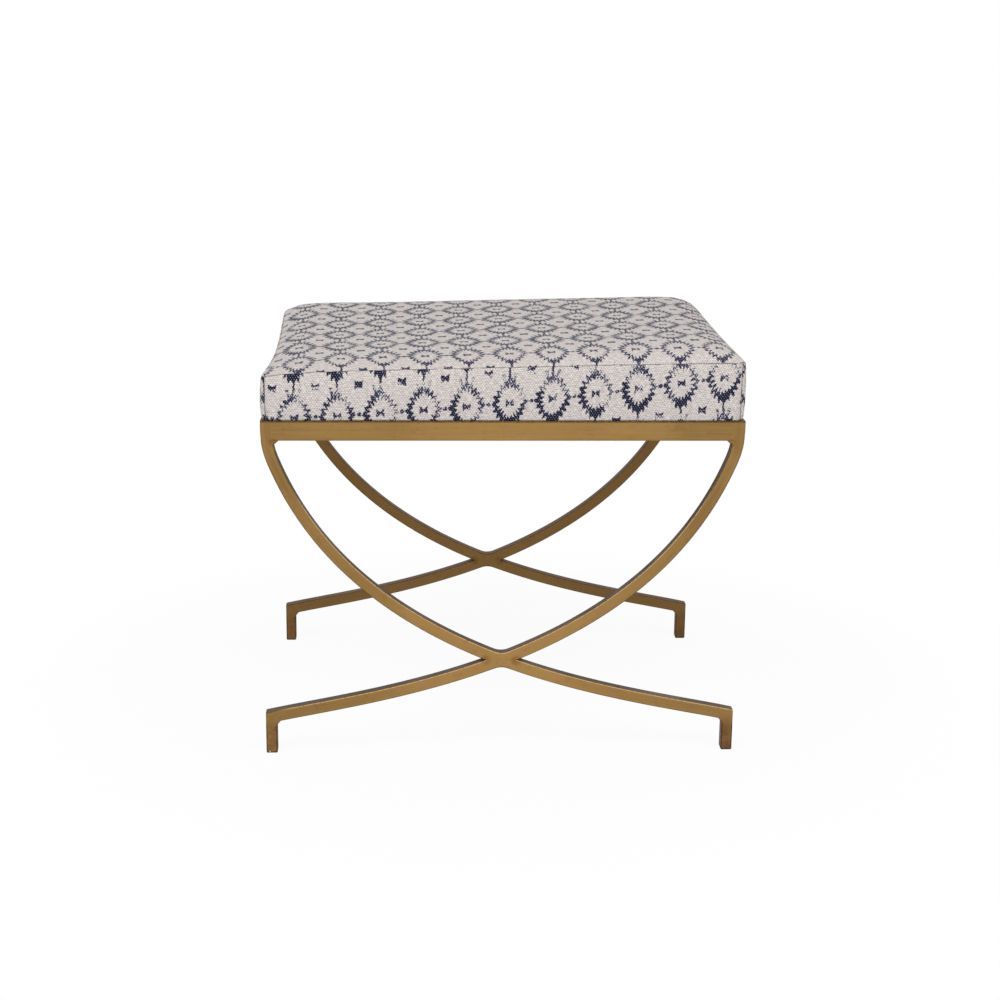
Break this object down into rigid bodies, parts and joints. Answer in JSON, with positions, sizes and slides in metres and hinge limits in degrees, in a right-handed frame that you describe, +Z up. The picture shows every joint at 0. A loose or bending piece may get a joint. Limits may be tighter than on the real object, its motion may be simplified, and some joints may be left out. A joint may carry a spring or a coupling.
{
  "type": "x frame stool",
  "caption": "Low fixed stool: curved x frames of square bar at front and back, joined by a rail frame, carry a boxed cushion seat covered in printed cloth.",
  "frame": {"origin": "on the floor, under the middle of the seat", "axes": "+Z up, +X along the seat's long side to the right of someone facing the front x frame, -Y out of the front"},
  "size_m": [0.533, 0.407, 0.457],
  "materials": {
    "gold_finish": "antique brushed gold on welded steel bar, darker where it is rubbed back at the feet and corners",
    "zinc_steel": "bright zinc",
    "plywood": "raw plywood",
    "foam": "open cell foam",
    "fibre": "lofted polyester fibre",
    "printed_cloth": "coarse plain weave in off-white, block printed with faded indigo lattice medallions",
    "cambric": "thin black non-woven dust cloth"
  },
  "bodies": {
    "root": {"front_leg_through": "gold_finish", "front_leg_upper": "gold_finish", "front_leg_lower": "gold_finish", "front_left_foot": "gold_finish", "front_right_foot": "gold_finish", "front_rail": "gold_finish", "back_leg_through": "gold_finish", "back_leg_upper": "gold_finish", "back_leg_lower": "gold_finish", "back_left_foot": "gold_finish", "back_right_foot": "gold_finish", "back_rail": "gold_finish", "left_rail": "gold_finish", "right_rail": "gold_finish", "front_left_tab": "gold_finish", "front_right_tab": "gold_finish", "back_left_tab": "gold_finish", "back_right_tab": "gold_finish", "seat_board": "plywood", "foam_pad": "foam", "fibre_wadding": "fibre", "cover_top": "printed_cloth", "cover_front_boxing": "printed_cloth", "cover_back_boxing": "printed_cloth", "cover_left_boxing": "printed_cloth", "cover_right_boxing": "printed_cloth", "dust_cover": "cambric", "front_left_screw": "zinc_steel", "front_right_screw": "zinc_steel", "back_left_screw": "zinc_steel", "back_right_screw": "zinc_steel", "front_left_tee_nut": "zinc_steel", "front_right_tee_nut": "zinc_steel", "back_left_tee_nut": "zinc_steel", "back_right_tee_nut": "zinc_steel"}
  },
  "joints": []
}
